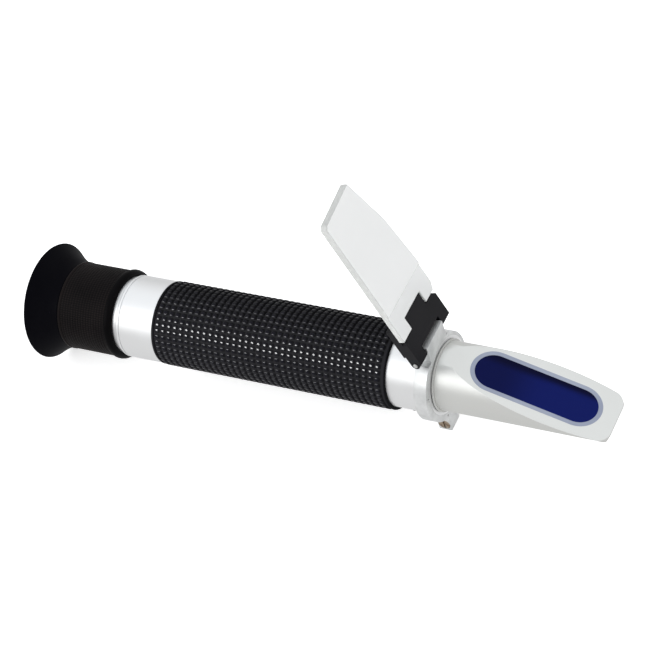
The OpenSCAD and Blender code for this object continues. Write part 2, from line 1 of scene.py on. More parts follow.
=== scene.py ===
"""Hand-held refractometer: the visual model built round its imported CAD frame.

Turned and moulded parts that need more detail than their solids have are worked out here as
surfaces of revolution. The machined and cast parts keep the shape of their solids, with broken
edges. Lengths are in metres and places come from the boxes of the CAD nodes.
"""

import math

import bmesh
import bpy
import numpy as np
from mathutils import Matrix, Vector


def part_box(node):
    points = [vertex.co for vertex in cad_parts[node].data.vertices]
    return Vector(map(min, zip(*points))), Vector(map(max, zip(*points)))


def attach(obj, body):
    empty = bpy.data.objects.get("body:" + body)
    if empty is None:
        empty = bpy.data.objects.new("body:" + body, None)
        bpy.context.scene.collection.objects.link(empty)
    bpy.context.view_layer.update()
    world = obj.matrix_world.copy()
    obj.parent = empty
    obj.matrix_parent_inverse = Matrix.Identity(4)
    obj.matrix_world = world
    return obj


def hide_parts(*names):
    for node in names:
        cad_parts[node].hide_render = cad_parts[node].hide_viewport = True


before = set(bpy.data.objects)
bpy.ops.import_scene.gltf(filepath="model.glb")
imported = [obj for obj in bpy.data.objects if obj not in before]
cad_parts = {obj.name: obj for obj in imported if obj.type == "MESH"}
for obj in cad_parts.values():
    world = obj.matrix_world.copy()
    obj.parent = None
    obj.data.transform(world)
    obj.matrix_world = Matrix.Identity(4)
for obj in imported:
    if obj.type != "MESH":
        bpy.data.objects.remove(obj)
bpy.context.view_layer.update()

MM = 0.001


# ---------------------------------------------------------------- places from the frame

def ends(node):
    """First and last station of a node along the barrel."""
    low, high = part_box(node)
    return low[0], high[0]


grip_low, grip_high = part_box("rubber_grip")
AXIS_Z = (grip_low[2] + grip_high[2]) / 2
GRIP_R = (grip_high[2] - grip_low[2]) / 2
CUP_BACK = ends("eyecup")[0]
CUP_R = (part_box("eyecup")[1][1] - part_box("eyecup")[0][1]) / 2
GRIP_BACK, GRIP_FRONT = ends("rubber_grip")


# ---------------------------------------------------------------- mesh making

def add_piece(name, points, faces, body, material, nodes):
    """Makes a smooth-shaded piece from an array of points and an array of four-cornered faces,
    turns the faces outwards when the enclosed volume is negative, and puts it on its body."""
    a, b, c, d = (points[faces[:, k]] for k in range(4))
    volume = np.einsum("ij,ij->i", a, np.cross(b, c)).sum() + np.einsum("ij,ij->i", a, np.cross(c, d)).sum()
    if volume < 0:
        faces = faces[:, ::-1]
    mesh = bpy.data.meshes.new(name)
    mesh.vertices.add(len(points))
    mesh.vertices.foreach_set("co", points.ravel())
    mesh.loops.add(faces.size)
    mesh.loops.foreach_set("vertex_index", faces.ravel())
    mesh.polygons.add(len(faces))
    mesh.polygons.foreach_set("loop_start", np.arange(0, faces.size, 4))
    mesh.polygons.foreach_set("use_smooth", np.ones(len(faces), dtype=bool))
    mesh.update(calc_edges=True)
    mesh.validate()
    mesh.materials.append(material)
    piece = bpy.data.objects.new(name, mesh)
    bpy.context.scene.collection.objects.link(piece)
    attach(piece, body)
    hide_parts(*nodes)
    return piece


def turned_points(stations, radii, around, angles=None):
    """Points of a surface of revolution about the barrel axis: x = station, y = radius x cos(angle),
    z = axis height + radius x sin(angle). Radii is one value for each station, or a grid of
    stations by angles. The outline is a closed loop, and both directions wrap round."""
    if angles is None:
        angles = np.arange(around) * (2 * math.pi / around)
    r = np.broadcast_to(radii.reshape(len(stations), -1), (len(stations), around))
    x = np.broadcast_to(stations[:, None], r.shape)
    points = np.stack([x, r * np.cos(angles), AXIS_Z + r * np.sin(angles)], axis=-1)
    i, j = np.meshgrid(np.arange(len(stations)), np.arange(around), indexing="ij")
    i1, j1 = (i + 1) % len(stations), (j + 1) % around
    faces = np.stack([i * around + j, i1 * around + j, i1 * around + j1, i * around + j1], axis=-1)
    return points.reshape(-1, 3), faces.reshape(-1, 4)


def eased_outline(corners, radius, steps=4):
    """Closed outline with each corner replaced by a short curve: the curve runs from a point
    `radius` before the corner to one `radius` after it, by the quadratic Bezier rule
    (1-t)^2 A + 2 t (1-t) corner + t^2 B. Corners are rows of station and radius."""
    corners = np.asarray(corners, dtype=float)
    before = np.roll(corners, 1, axis=0) - corners
    after = np.roll(corners, -1, axis=0) - corners
    len_before = np.linalg.norm(before, axis=1, keepdims=True)
    len_after = np.linalg.norm(after, axis=1, keepdims=True)
    start = corners + before / len_before * np.minimum(radius, 0.45 * len_before)
    end = corners + after / len_after * np.minimum(radius, 0.45 * len_after)
    t = np.linspace(0, 1, steps)[None, :, None]
    curve = (1 - t) ** 2 * start[:, None] + 2 * t * (1 - t) * corners[:, None] + t**2 * end[:, None]
    return curve.reshape(-1, 2)


def start_copy(node, name):
    """Own mesh of a CAD solid, and its shape merged into one closed skin to work on."""
    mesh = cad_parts[node].data.copy()
    mesh.name = name
    shape = bmesh.new()
    shape.from_mesh(mesh)
    bmesh.ops.remove_doubles(shape, verts=shape.verts, dist=0.002 * MM)
    return mesh, shape


def finish_copy(node, mesh, shape, crease, body, material):
    """Writes the worked shape to its mesh, smooth but for edges sharper than `crease` degrees,
    and puts it on its body in place of the CAD node."""
    for face in shape.faces:
        face.smooth = True
    shape.to_mesh(mesh)
    shape.free()
    if "custom_normal" in mesh.attributes:
        mesh.attributes.remove(mesh.attributes["custom_normal"])
    mesh.set_sharp_from_angle(angle=math.radians(crease))
    mesh.materials.clear()
    mesh.materials.append(material)
    piece = bpy.data.objects.new(mesh.name, mesh)
    bpy.context.scene.collection.objects.link(piece)
    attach(piece, body)
    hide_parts(node)
    return piece


def broken_edges(node, name, body, material, width):
    """Copy of a CAD solid with its sharp edges broken: flat areas are dissolved into single faces,
    and edges that turn more than `sharp_turn` get a round of `width`."""
    flat_turn, sharp_turn = math.radians(0.5), math.radians(30)
    mesh, shape = start_copy(node, name)
    bmesh.ops.dissolve_limit(
        shape, angle_limit=flat_turn, verts=shape.verts, edges=shape.edges, delimit=set()
    )
    sharp = [e for e in shape.edges if len(e.link_faces) == 2 and e.calc_face_angle(0) > sharp_turn]
    bmesh.ops.bevel(
        shape, geom=sharp, offset=width, offset_type="OFFSET", segments=3, profile=0.5,
        affect="EDGES", clamp_overlap=True, loop_slide=True,
    )
    piece = finish_copy(node, mesh, shape, 40, body, material)
    weighted = piece.modifiers.new("even shading", "WEIGHTED_NORMAL")
    weighted.keep_sharp = True
    weighted.weight = 80
    return piece


def smooth_copy(node, name, body, material):
    """Copy of a CAD solid merged into one closed mesh, so that its curved faces shade smoothly."""
    mesh, shape = start_copy(node, name)
    return finish_copy(node, mesh, shape, 30, body, material)


# ---------------------------------------------------------------- finishes

def start_material(name):
    """New empty node material."""
    material = bpy.data.materials.new(name)
    material.use_nodes = True
    material.node_tree.nodes.clear()
    return material, material.node_tree.nodes, material.node_tree.links


def satin_aluminium(name, colour, roughness, line_scale, line_depth):
    """Turned and blasted aluminium: faint tool rings round the barrel axis, a fine blasted
    grain, and smudges that change the gloss."""
    material, nodes, links = start_material(name)

    rings_frame = nodes.new("NodeFrame")
    rings_frame.label = "tool rings and grain"
    gloss_frame = nodes.new("NodeFrame")
    gloss_frame.label = "smudged gloss"
    tint_frame = nodes.new("NodeFrame")
    tint_frame.label = "metal tint"

    place = nodes.new("ShaderNodeTexCoord")
    place.label = "place on the part"
    ring_place = nodes.new("ShaderNodeMapping")
    ring_place.label = "squeezed along the axis"
    ring_place.parent = rings_frame
    rings = nodes.new("ShaderNodeTexNoise")
    rings.label = "tool rings"
    rings.parent = rings_frame
    grain = nodes.new("ShaderNodeTexNoise")
    grain.label = "blasted grain"
    grain.parent = rings_frame
    relief_sum = nodes.new("ShaderNodeMath")
    relief_sum.label = "rings and grain together"
    relief_sum.parent = rings_frame
    relief = nodes.new("ShaderNodeBump")
    relief.label = "fine relief"
    relief.parent = rings_frame
    smudges = nodes.new("ShaderNodeTexNoise")
    smudges.label = "handling smudges"
    smudges.parent = gloss_frame
    gloss = nodes.new("ShaderNodeMapRange")
    gloss.label = "roughness from smudges"
    gloss.parent = gloss_frame
    cloud = nodes.new("ShaderNodeTexNoise")
    cloud.label = "anodising clouds"
    cloud.parent = tint_frame
    tint = nodes.new("ShaderNodeValToRGB")
    tint.label = "aluminium tint"
    tint.parent = tint_frame
    shader = nodes.new("ShaderNodeBsdfPrincipled")
    shader.label = "satin aluminium"
    output = nodes.new("ShaderNodeOutputMaterial")
    output.label = "surface"

    for node, x, y in (
        (place, -1300, 0), (ring_place, -1050, -250), (rings, -850, -250), (grain, -850, -520),
        (relief_sum, -620, -350), (relief, -420, -350), (smudges, -850, 60), (gloss, -620, 60),
        (cloud, -850, 360), (tint, -620, 360), (shader, -150, 100), (output, 150, 100),
    ):
        node.location = (x, y)

    ring_place.inputs["Scale"].default_value = (line_scale, 12.0, 12.0)
    rings.inputs["Scale"].default_value = 1.0
    rings.inputs["Detail"].default_value = 2.0
    rings.inputs["Roughness"].default_value = 0.6
    grain.inputs["Scale"].default_value = 5200.0
    grain.inputs["Detail"].default_value = 2.0
    relief_sum.operation = "ADD"
    relief.inputs["Strength"].default_value = line_depth
    relief.inputs["Distance"].default_value = 0.00002
    smudges.inputs["Scale"].default_value = 55.0
    smudges.inputs["Detail"].default_value = 5.0
    smudges.inputs["Roughness"].default_value = 0.6
    gloss.inputs["From Min"].default_value = 0.3
    gloss.inputs["From Max"].default_value = 0.7
    gloss.inputs["To Min"].default_value = roughness - 0.04
    gloss.inputs["To Max"].default_value = roughness + 0.05
    cloud.inputs["Scale"].default_value = 28.0
    cloud.inputs["Detail"].default_value = 3.0
    tint.color_ramp.elements[0].position = 0.3
    tint.color_ramp.elements[0].color = (*[c * 0.97 for c in colour], 1)
    tint.color_ramp.elements[1].position = 0.7
    tint.color_ramp.elements[1].color = (*colour, 1)
    shader.inputs["Metallic"].default_value = 1.0

    links.new(place.outputs["Object"], ring_place.inputs["Vector"])
    links.new(ring_place.outputs["Vector"], rings.inputs["Vector"])
    links.new(place.outputs["Object"], grain.inputs["Vector"])
    links.new(rings.outputs["Fac"], relief_sum.inputs[0])
    links.new(grain.outputs["Fac"], relief_sum.inputs[1])
    links.new(relief_sum.outputs["Value"], relief.inputs["Height"])
    links.new(place.outputs["Object"], smudges.inputs["Vector"])
    links.new(smudges.outputs["Fac"], gloss.inputs["Value"])
    links.new(place.outputs["Object"], cloud.inputs["Vector"])
    links.new(cloud.outputs["Fac"], tint.inputs["Fac"])
    links.new(tint.outputs["Color"], shader.inputs["Base Color"])
    links.new(gloss.outputs["Result"], shader.inputs["Roughness"])
    links.new(relief.outputs["Normal"], shader.inputs["Normal"])
    links.new(shader.outputs["BSDF"], output.inputs["Surface"])
    return material


def cast_metal(name, colour, dark, roughness, metallic):
    """Tumbled zinc casting: pitted grain, darker in random dull patches, slightly uneven gloss."""
    material, nodes, links = start_material(name)

    skin_frame = nodes.new("NodeFrame")
    skin_frame.label = "cast skin"
    tint_frame = nodes.new("NodeFrame")
    tint_frame.label = "tint in the pits"
    gloss_frame = nodes.new("NodeFrame")
    gloss_frame.label = "tumbled gloss"

    place = nodes.new("ShaderNodeTexCoord")
    place.label = "place on the part"
    orange_peel = nodes.new("ShaderNodeTexNoise")
    orange_peel.label = "orange peel"
    orange_peel.parent = skin_frame
    pits = nodes.new("ShaderNodeTexVoronoi")
    pits.label = "small pits"
    pits.parent = skin_frame
    pit_depth = nodes.new("ShaderNodeMapRange")
    pit_depth.label = "pit depth"
    pit_depth.parent = skin_frame
    skin_sum = nodes.new("ShaderNodeMath")
    skin_sum.label = "peel less pits"
    skin_sum.parent = skin_frame
    relief = nodes.new("ShaderNodeBump")
    relief.label = "skin relief"
    relief.parent = skin_frame
    stain = nodes.new("ShaderNodeTexNoise")
    stain.label = "dull patches"
    stain.parent = tint_frame
    tint = nodes.new("ShaderNodeValToRGB")
    tint.label = "metal tint"
    tint.parent = tint_frame
    gloss = nodes.new("ShaderNodeMapRange")
    gloss.label = "roughness from patches"
    gloss.parent = gloss_frame
    shader = nodes.new("ShaderNodeBsdfPrincipled")
    shader.label = "cast metal"
    output = nodes.new("ShaderNodeOutputMaterial")
    output.label = "surface"

    for node, x, y in (
        (place, -1300, 0), (orange_peel, -1000, -250), (pits, -1000, -520), (pit_depth, -800, -520),
        (skin_sum, -600, -350), (relief, -400, -350), (stain, -1000, 300), (tint, -700, 300),
        (gloss, -700, 0), (shader, -150, 100), (output, 150, 100),
    ):
        node.location = (x, y)

    orange_peel.inputs["Scale"].default_value = 900.0
    orange_peel.inputs["Detail"].default_value = 4.0
    pits.inputs["Scale"].default_value = 700.0
    pit_depth.inputs["From Max"].default_value = 0.25
    pit_depth.inputs["To Min"].default_value = -0.5
    pit_depth.inputs["To Max"].default_value = 0.0
    skin_sum.operation = "ADD"
    relief.inputs["Strength"].default_value = 0.35
    relief.inputs["Distance"].default_value = 0.00006
    stain.inputs["Scale"].default_value = 160.0
    stain.inputs["Detail"].default_value = 5.0
    tint.color_ramp.elements[0].position = 0.32
    tint.color_ramp.elements[0].color = (*dark, 1)
    tint.color_ramp.elements[1].position = 0.62
    tint.color_ramp.elements[1].color = (*colour, 1)
    gloss.inputs["To Min"].default_value = roughness + 0.1
    gloss.inputs["To Max"].default_value = roughness - 0.05
    shader.inputs["Metallic"].default_value = metallic

    links.new(place.outputs["Object"], orange_peel.inputs["Vector"])
    links.new(place.outputs["Object"], pits.inputs["Vector"])
    links.new(pits.outputs["Distance"], pit_depth.inputs["Value"])
    links.new(orange_peel.outputs["Fac"], skin_sum.inputs[0])
    links.new(pit_depth.outputs["Result"], skin_sum.inputs[1])
    links.new(skin_sum.outputs["Value"], relief.inputs["Height"])
    links.new(place.outputs["Object"], stain.inputs["Vector"])
    links.new(stain.outputs["Fac"], tint.inputs["Fac"])
    links.new(stain.outputs["Fac"], gloss.inputs["Value"])
    links.new(tint.outputs["Color"], shader.inputs["Base Color"])
    links.new(gloss.outputs["Result"], shader.inputs["Roughness"])
    links.new(relief.outputs["Normal"], shader.inputs["Normal"])
    links.new(shader.outputs["BSDF"], output.inputs["Surface"])
    return material


def small_metal(name, colour, tarnish, roughness):
    """Screw and pin stock: bright turned metal with hair-fine scratches and a little tarnish."""
    material, nodes, links = start_material(name)

    scratch_frame = nodes.new("NodeFrame")
    scratch_frame.label = "hair scratches"
    tint_frame = nodes.new("NodeFrame")
    tint_frame.label = "tarnish"

    place = nodes.new("ShaderNodeTexCoord")
    place.label = "place on the part"
    scratch_place = nodes.new("ShaderNodeMapping")
    scratch_place.label = "drawn out crossways"
    scratch_place.parent = scratch_frame
    scratches = nodes.new("ShaderNodeTexNoise")
    scratches.label = "scratches"
    scratches.parent = scratch_frame
    relief = nodes.new("ShaderNodeBump")
    relief.label = "scratch relief"
    relief.parent = scratch_frame
    gloss = nodes.new("ShaderNodeMapRange")
    gloss.label = "roughness in scratches"
    gloss.parent = scratch_frame
    patches = nodes.new("ShaderNodeTexNoise")
    patches.label = "tarnish patches"
    patches.parent = tint_frame
    tint = nodes.new("ShaderNodeValToRGB")
    tint.label = "metal to tarnish"
    tint.parent = tint_frame
    shader = nodes.new("ShaderNodeBsdfPrincipled")
    shader.label = "bright metal"
    output = nodes.new("ShaderNodeOutputMaterial")
    output.label = "surface"

    for node, x, y in (
        (place, -1300, 0), (scratch_place, -1050, -200), (scratches, -850, -200), (relief, -500, -300),
        (gloss, -500, -50), (patches, -850, 250), (tint, -600, 250), (shader, -150, 100),
        (output, 150, 100),
    ):
        node.location = (x, y)

    scratch_place.inputs["Scale"].default_value = (4000.0, 500.0, 4000.0)
    scratches.inputs["Scale"].default_value = 1.0
    scratches.inputs["Detail"].default_value = 3.0
    relief.inputs["Strength"].default_value = 0.25
    relief.inputs["Distance"].default_value = 0.00002
    gloss.inputs["To Min"].default_value = roughness - 0.05
    gloss.inputs["To Max"].default_value = roughness + 0.12
    patches.inputs["Scale"].default_value = 600.0
    patches.inputs["Detail"].default_value = 4.0
    tint.color_ramp.elements[0].position = 0.35
    tint.color_ramp.elements[0].color = (*tarnish, 1)
    tint.color_ramp.elements[1].position = 0.6
    tint.color_ramp.elements[1].color = (*colour, 1)
    shader.inputs["Metallic"].default_value = 1.0

    links.new(place.outputs["Object"], scratch_place.inputs["Vector"])
    links.new(scratch_place.outputs["Vector"], scratches.inputs["Vector"])
    links.new(scratches.outputs["Fac"], relief.inputs["Height"])
    links.new(scratches.outputs["Fac"], gloss.inputs["Value"])
    links.new(place.outputs["Object"], patches.inputs["Vector"])
    links.new(patches.outputs["Fac"], tint.inputs["Fac"])
    links.new(tint.outputs["Color"], shader.inputs["Base Color"])
    links.new(gloss.outputs["Result"], shader.inputs["Roughness"])
    links.new(relief.outputs["Normal"], shader.inputs["Normal"])
    links.new(shader.outputs["BSDF"], output.inputs["Surface"])
    return material


def black_moulding(name, colour, dust, roughness, specular, grain_scale, grain_depth):
    """Black rubber, plastic or anodised metal: fine moulded grain, a breath of pale dust, and
    gloss that wanders a little."""
    material, nodes, links = start_material(name)

    grain_frame = nodes.new("NodeFrame")
    grain_frame.label = "surface grain"
    dust_frame = nodes.new("NodeFrame")
    dust_frame.label = "dust and bloom"
    gloss_frame = nodes.new("NodeFrame")
    gloss_frame.label = "uneven gloss"

    place = nodes.new("ShaderNodeTexCoord")
    place.label = "place on the part"
    grain = nodes.new("ShaderNodeTexNoise")
    grain.label = "moulded grain"
    grain.parent = grain_frame
    relief = nodes.new("ShaderNodeBump")
    relief.label = "grain relief"
    relief.parent = grain_frame
    bloom = nodes.new("ShaderNodeTexNoise")
    bloom.label = "bloom patches"
    bloom.parent = dust_frame
    tint = nodes.new("ShaderNodeValToRGB")
    tint.label = "black to dusty black"
    tint.parent = dust_frame
    wander = nodes.new("ShaderNodeTexNoise")
    wander.label = "gloss wander"
    wander.parent = gloss_frame
    gloss = nodes.new("ShaderNodeMapRange")
    gloss.label = "roughness range"
    gloss.parent = gloss_frame
    shader = nodes.new("ShaderNodeBsdfPrincipled")
    shader.label = "black surface"
    output = nodes.new("ShaderNodeOutputMaterial")
    output.label = "surface"

    for node, x, y in (
        (place, -1200, 0), (grain, -900, -300), (relief, -600, -300), (bloom, -900, 300),
        (tint, -650, 300), (wander, -900, 0), (gloss, -650, 0), (shader, -150, 100),
        (output, 150, 100),
    ):
        node.location = (x, y)

    grain.inputs["Scale"].default_value = grain_scale
    grain.inputs["Detail"].default_value = 3.0
    relief.inputs["Strength"].default_value = grain_depth
    relief.inputs["Distance"].default_value = 0.00003
    bloom.inputs["Scale"].default_value = 130.0
    bloom.inputs["Detail"].default_value = 6.0
    bloom.inputs["Roughness"].default_value = 0.65
    tint.color_ramp.elements[0].position = 0.4
    tint.color_ramp.elements[0].color = (*colour, 1)
    tint.color_ramp.elements[1].position = 0.8
    tint.color_ramp.elements[1].color = (*dust, 1)
    wander.inputs["Scale"].default_value = 90.0
    wander.inputs["Detail"].default_value = 3.0
    gloss.inputs["From Min"].default_value = 0.3
    gloss.inputs["From Max"].default_value = 0.7
    gloss.inputs["To Min"].default_value = roughness - 0.05
    gloss.inputs["To Max"].default_value = roughness + 0.06
    shader.inputs["Specular IOR Level"].default_value = specular

    links.new(place.outputs["Object"], grain.inputs["Vector"])
    links.new(grain.outputs["Fac"], relief.inputs["Height"])
    links.new(place.outputs["Object"], bloom.inputs["Vector"])
    links.new(bloom.outputs["Fac"], tint.inputs["Fac"])
    links.new(place.outputs["Object"], wander.inputs["Vector"])
    links.new(wander.outputs["Fac"], gloss.inputs["Value"])
    links.new(tint.outputs["Color"], shader.inputs["Base Color"])
    links.new(gloss.outputs["Result"], shader.inputs["Roughness"])
    links.new(relief.outputs["Normal"], shader.inputs["Normal"])
    links.new(shader.outputs["BSDF"], output.inputs["Surface"])
    return material


def raised_black(name, shaded_hollow, lit_worn_top, rough_hollow, rough_top, specular):
    """Black studded rubber or knurled metal. The `raised` attribute of the mesh, 0 in the hollows
    and 1 on the tops, sets colour and gloss: the hollows are dull and darkened with painted shade,
    the tops shinier and lighter where handling patches lie, partly from wear and partly as a
    painted highlight; a fine grain and a wandering gloss lie over both."""
    material, nodes, links = start_material(name)

    shade_and_wear_frame = nodes.new("NodeFrame")
    shade_and_wear_frame.label = "painted shade in the hollows, wear and painted highlight on the tops"
    grain_frame = nodes.new("NodeFrame")
    grain_frame.label = "fine grain"

    raised = nodes.new("ShaderNodeAttribute")
    raised.label = "height of the pattern"
    raised.parent = shade_and_wear_frame
    place = nodes.new("ShaderNodeTexCoord")
    place.label = "place on the part"
    handling = nodes.new("ShaderNodeTexNoise")
    handling.label = "handling patches"
    handling.parent = shade_and_wear_frame
    highlight_and_wear = nodes.new("ShaderNodeMath")
    highlight_and_wear.label = "height times handling"
    highlight_and_wear.parent = shade_and_wear_frame
    tint = nodes.new("ShaderNodeValToRGB")
    tint.label = "hollow to top"
    tint.parent = shade_and_wear_frame
    gloss = nodes.new("ShaderNodeMapRange")
    gloss.label = "roughness from height"
    gloss.parent = shade_and_wear_frame
    wander = nodes.new("ShaderNodeTexNoise")
    wander.label = "gloss wander"
    wander.parent = grain_frame
    wander_range = nodes.new("ShaderNodeMapRange")
    wander_range.label = "small gloss change"
    wander_range.parent = grain_frame
    gloss_sum = nodes.new("ShaderNodeMath")
    gloss_sum.label = "gloss with wander"
    gloss_sum.parent = grain_frame
    grain = nodes.new("ShaderNodeTexNoise")
    grain.label = "surface grain"
    grain.parent = grain_frame
    relief = nodes.new("ShaderNodeBump")
    relief.label = "grain relief"
    relief.parent = grain_frame
    shader = nodes.new("ShaderNodeBsdfPrincipled")
    shader.label = "black pattern"
    output = nodes.new("ShaderNodeOutputMaterial")
    output.label = "surface"

    for node, x, y in (
        (place, -1300, -200), (raised, -1300, 250), (handling, -1050, 50), (highlight_and_wear, -850, 250),
        (tint, -600, 300), (gloss, -850, 0), (wander, -1050, -300), (wander_range, -850, -300),
        (gloss_sum, -600, -100), (grain, -850, -550), (relief, -600, -450), (shader, -200, 100),
        (output, 100, 100),
    ):
        node.location = (x, y)

    raised.attribute_name = "raised"
    handling.inputs["Scale"].default_value = 60.0
    handling.inputs["Detail"].default_value = 4.0
    highlight_and_wear.operation = "MULTIPLY"
    # Painted shade: the hollow colour darkens the hollows. The lighter top colour is partly wear and partly
    # painted highlight.
    tint.color_ramp.elements[0].position = 0.05
    tint.color_ramp.elements[0].color = (*shaded_hollow, 1)
    tint.color_ramp.elements[1].position = 0.65
    tint.color_ramp.elements[1].color = (*lit_worn_top, 1)
    gloss.inputs["From Min"].default_value = 0.7
    gloss.inputs["From Max"].default_value = 1.0
    gloss.inputs["To Min"].default_value = rough_hollow
    gloss.inputs["To Max"].default_value = rough_top
    wander.inputs["Scale"].default_value = 90.0
    wander.inputs["Detail"].default_value = 3.0
    wander_range.inputs["To Min"].default_value = -0.03
    wander_range.inputs["To Max"].default_value = 0.03
    gloss_sum.operation = "ADD"
    grain.inputs["Scale"].default_value = 2600.0
    grain.inputs["Detail"].default_value = 3.0
    relief.inputs["Strength"].default_value = 0.06
    relief.inputs["Distance"].default_value = 0.00003
    shader.inputs["Specular IOR Level"].default_value = specular

    links.new(place.outputs["Object"], handling.inputs["Vector"])
    links.new(raised.outputs["Fac"], highlight_and_wear.inputs[0])
    links.new(handling.outputs["Fac"], highlight_and_wear.inputs[1])
    links.new(highlight_and_wear.outputs["Value"], tint.inputs["Fac"])
    links.new(raised.outputs["Fac"], gloss.inputs["Value"])
    links.new(place.outputs["Object"], wander.inputs["Vector"])
    links.new(wander.outputs["Fac"], wander_range.inputs["Value"])
    links.new(gloss.outputs["Result"], gloss_sum.inputs[0])
    links.new(wander_range.outputs["Result"], gloss_sum.inputs[1])
    links.new(place.outputs["Object"], grain.inputs["Vector"])
    links.new(grain.outputs["Fac"], relief.inputs["Height"])
    links.new(tint.outputs["Color"], shader.inputs["Base Color"])
    links.new(gloss_sum.outputs["Value"], shader.inputs["Roughness"])
    links.new(relief.outputs["Normal"], shader.inputs["Normal"])
    links.new(shader.outputs["BSDF"], output.inputs["Surface"])
    return material


def pale_moulding(name, colour, shade, roughness, transmission):
    """Pale plastic, sealant or frosted acrylic: milky body with faint clouds, fine frosting and
    as much light passing through as asked."""
    material, nodes, links = start_material(name)

    frost_frame = nodes.new("NodeFrame")
    frost_frame.label = "frosting"
    body_frame = nodes.new("NodeFrame")
    body_frame.label = "milky body"

    place = nodes.new("ShaderNodeTexCoord")
    place.label = "place on the part"
    frost = nodes.new("ShaderNodeTexNoise")
    frost.label = "fine frosting"
    frost.parent = frost_frame
    relief = nodes.new("ShaderNodeBump")
    relief.label = "frosting relief"
    relief.parent = frost_frame
    gloss = nodes.new("ShaderNodeMapRange")
    gloss.label = "roughness of frosting"
    gloss.parent = frost_frame
    clouds = nodes.new("ShaderNodeTexNoise")
    clouds.label = "milky clouds"
    clouds.parent = body_frame
    tint = nodes.new("ShaderNodeValToRGB")
    tint.label = "shade to pale"
    tint.parent = body_frame
    shader = nodes.new("ShaderNodeBsdfPrincipled")
    shader.label = "pale moulding"
    output = nodes.new("ShaderNodeOutputMaterial")
    output.label = "surface"

    for node, x, y in (
        (place, -1200, 0), (frost, -900, -200), (relief, -600, -350), (gloss, -600, -80),
        (clouds, -900, 250), (tint, -600, 250), (shader, -150, 100), (output, 150, 100),
    ):
        node.location = (x, y)

    frost.inputs["Scale"].default_value = 2600.0
    frost.inputs["Detail"].default_value = 3.0
    relief.inputs["Strength"].default_value = 0.15
    relief.inputs["Distance"].default_value = 0.00002
    gloss.inputs["To Min"].default_value = roughness - 0.06
    gloss.inputs["To Max"].default_value = roughness + 0.06
    clouds.inputs["Scale"].default_value = 40.0
    clouds.inputs["Detail"].default_value = 3.0
    tint.color_ramp.elements[0].position = 0.35
    tint.color_ramp.elements[0].color = (*shade, 1)
    tint.color_ramp.elements[1].position = 0.65
    tint.color_ramp.elements[1].color = (*colour, 1)
    shader.inputs["Transmission Weight"].default_value = transmission
    shader.inputs["IOR"].default_value = 1.49

    links.new(place.outputs["Object"], frost.inputs["Vector"])
    links.new(frost.outputs["Fac"], relief.inputs["Height"])
    links.new(frost.outputs["Fac"], gloss.inputs["Value"])
    links.new(place.outputs["Object"], clouds.inputs["Vector"])
    links.new(clouds.outputs["Fac"], tint.inputs["Fac"])
    links.new(tint.outputs["Color"], shader.inputs["Base Color"])
    links.new(gloss.outputs["Result"], shader.inputs["Roughness"])
    links.new(relief.outputs["Normal"], shader.inputs["Normal"])
    links.new(shader.outputs["BSDF"], output.inputs["Surface"])
    return material


def polished_glass(name, colour, transmission):
    """Polished optical glass with faint wipe marks in the gloss."""
    material, nodes, links = start_material(name)

    wipe_frame = nodes.new("NodeFrame")
    wipe_frame.label = "wipe marks"

    place = nodes.new("ShaderNodeTexCoord")
    place.label = "place on the part"
    wipe_place = nodes.new("ShaderNodeMapping")
    wipe_place.label = "drawn out across"
    wipe_place.parent = wipe_frame
    wipes = nodes.new("ShaderNodeTexNoise")
    wipes.label = "wipe marks"
    wipes.parent = wipe_frame
    gloss = nodes.new("ShaderNodeMapRange")
    gloss.label = "roughness of wipes"
    gloss.parent = wipe_frame
    tint = nodes.new("ShaderNodeValToRGB")
    tint.label = "coating tint"
    tint.parent = wipe_frame
    shader = nodes.new("ShaderNodeBsdfPrincipled")
    shader.label = "glass"
    output = nodes.new("ShaderNodeOutputMaterial")
    output.label = "surface"

    for node, x, y in (
        (place, -1200, 0), (wipe_place, -1000, 0), (wipes, -800, 0), (gloss, -500, -100),
        (tint, -500, 200), (shader, -150, 100), (output, 150, 100),
    ):
        node.location = (x, y)

    wipe_place.inputs["Scale"].default_value = (60.0, 400.0, 400.0)
    wipes.inputs["Scale"].default_value = 1.0
    wipes.inputs["Detail"].default_value = 4.0
    gloss.inputs["To Min"].default_value = 0.01
    gloss.inputs["To Max"].default_value = 0.06
    tint.color_ramp.elements[0].color = (*[c * 0.96 for c in colour], 1)
    tint.color_ramp.elements[1].color = (*colour, 1)
    shader.inputs["Transmission Weight"].default_value = transmission
    shader.inputs["IOR"].default_value = 1.52

    links.new(place.outputs["Object"], wipe_place.inputs["Vector"])
    links.new(wipe_place.outputs["Vector"], wipes.inputs["Vector"])
    links.new(wipes.outputs["Fac"], gloss.inputs["Value"])
    links.new(wipes.outputs["Fac"], tint.inputs["Fac"])
    links.new(tint.outputs["Color"], shader.inputs["Base Color"])
    links.new(gloss.outputs["Result"], shader.inputs["Roughness"])
    links.new(shader.outputs["BSDF"], output.inputs["Surface"])
    return material


